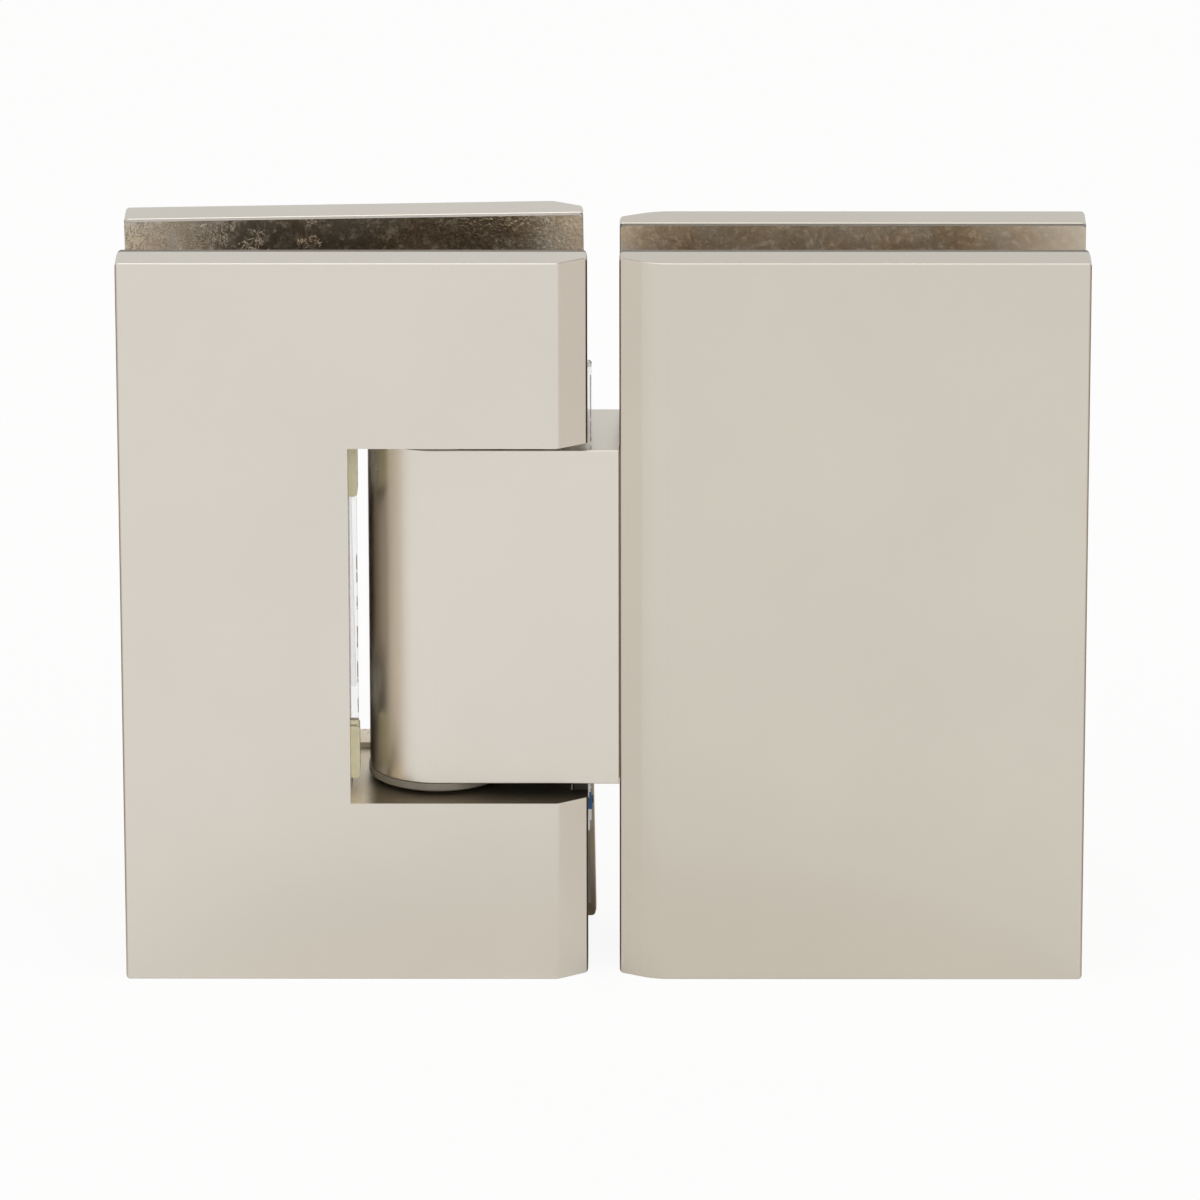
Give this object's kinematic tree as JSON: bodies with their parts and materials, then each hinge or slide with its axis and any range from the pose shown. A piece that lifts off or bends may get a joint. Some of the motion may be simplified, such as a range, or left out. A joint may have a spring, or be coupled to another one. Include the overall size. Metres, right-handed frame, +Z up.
{
  "type": "glass-to-glass shower door hinge",
  "caption": "Square-edged shower door hinge for two glass panels: a notched door leaf turns about a pivot block held in a plain fixed leaf, with a sprung detent.",
  "frame": {"origin": "middle of the foot: halfway across both leaves, halfway through the whole depth, at the plates' lower edges", "axes": "+X from the door leaf to the fixed leaf, +Y to the back where the screws are, +Z up along the pivot axis"},
  "size_m": [0.1152, 0.0252, 0.0905],
  "materials": {
    "satin_nickel": "brushed nickel plate on brass, fine satin",
    "satin_nickel_block": "satin nickel plate on brass",
    "clear_vinyl": "clear soft vinyl sheet",
    "stainless_screws": "stainless steel",
    "nylon": "natural nylon tube",
    "grey_bush": "grey acetal",
    "spring_steel": "bright spring wire",
    "hard_steel": "ground stainless steel",
    "yellow_pad": "pale yellow-green translucent elastomer"
  },
  "bodies": {
    "fixed_leaf": {"fixed_front_plate": "satin_nickel", "fixed_back_plate": "satin_nickel", "fixed_front_gasket": "clear_vinyl", "fixed_back_gasket": "clear_vinyl", "fixed_clamp_screws": "stainless_screws", "fixed_screw_sleeves": "nylon", "pivot_block": "satin_nickel_block", "upper_bush": "grey_bush", "lower_bush": "grey_bush", "detent_adjusters": "stainless_screws", "upper_detent_spring": "spring_steel", "lower_detent_spring": "spring_steel"},
    "upper_plunger": {"upper_detent_plunger": "hard_steel"},
    "lower_plunger": {"lower_detent_plunger": "hard_steel"},
    "door_leaf": {"door_front_plate": "satin_nickel", "door_back_plate": "satin_nickel", "door_front_gasket": "clear_vinyl", "door_back_gasket": "clear_vinyl", "door_clamp_screws": "stainless_screws", "door_lug_screws": "stainless_screws", "door_screw_sleeves": "nylon", "hinge_pin": "hard_steel", "pin_set_screws": "stainless_screws", "upper_notch_pad": "yellow_pad", "lower_notch_pad": "yellow_pad"}
  },
  "joints": [
    {"name": "pivot", "type": "hinge", "parent": "fixed_leaf", "child": "door_leaf", "pos_m": [-0.02, -0.0015, 0.045], "axis": [0, 0, 1], "range_deg": [-90, 90]},
    {"name": "upper_detent", "type": "slide", "parent": "fixed_leaf", "child": "upper_plunger", "axis": [1, 0, 0], "range_m": [-0.0006, 0], "stiffness_N_per_m": 200, "springref_m": -0.0006, "deforming": ["upper_detent_spring"]},
    {"name": "lower_detent", "type": "slide", "parent": "fixed_leaf", "child": "lower_plunger", "axis": [1, 0, 0], "range_m": [-0.0006, 0], "stiffness_N_per_m": 200, "springref_m": -0.0006, "deforming": ["lower_detent_spring"]}
  ],
  "couplings": [
    {"joint": "lower_detent", "follows": "upper_detent", "ratio": 1}
  ]
}
